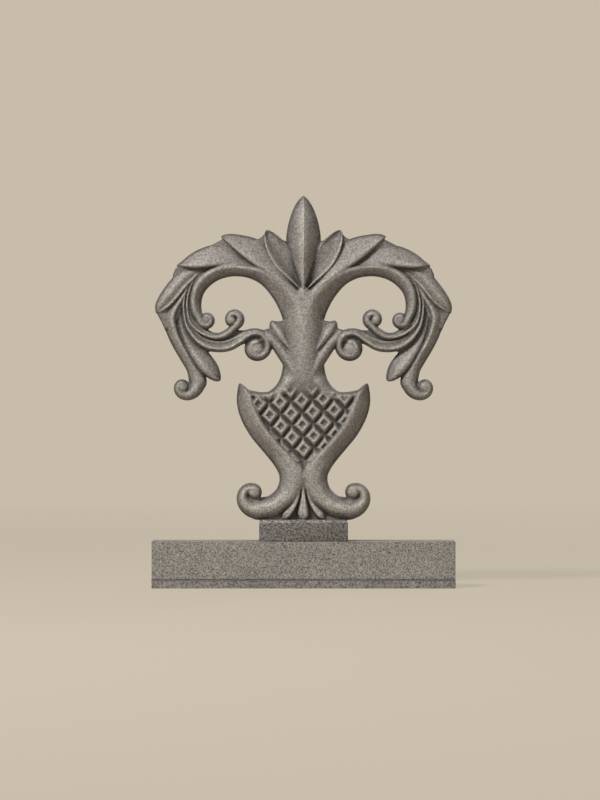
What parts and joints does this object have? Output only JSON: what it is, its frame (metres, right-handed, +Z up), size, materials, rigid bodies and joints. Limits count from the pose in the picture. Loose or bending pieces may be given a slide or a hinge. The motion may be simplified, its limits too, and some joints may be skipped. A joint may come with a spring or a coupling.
{
  "type": "fence finial",
  "caption": "Cast-iron fence finial: leafed crown and scrolled arms over a studded shield, on a plinth bolted to a length of rail.",
  "frame": {"origin": "bottom centre of the rail, under the middle of the plinth", "axes": "+Z up to the crown leaf's tip, +X along the rail, the front faces -Y"},
  "size_m": [0.267, 0.045, 0.346],
  "materials": {
    "casting": "dark, fine sand-cast skin, worn smooth on the ridges",
    "rail_iron": "dark, coarser sand-cast skin",
    "bolt_steel": "dull, blackened"
  },
  "bodies": {
    "root": {"finial": "casting", "rail": "rail_iron", "fixing_bolt": "bolt_steel"}
  },
  "joints": []
}
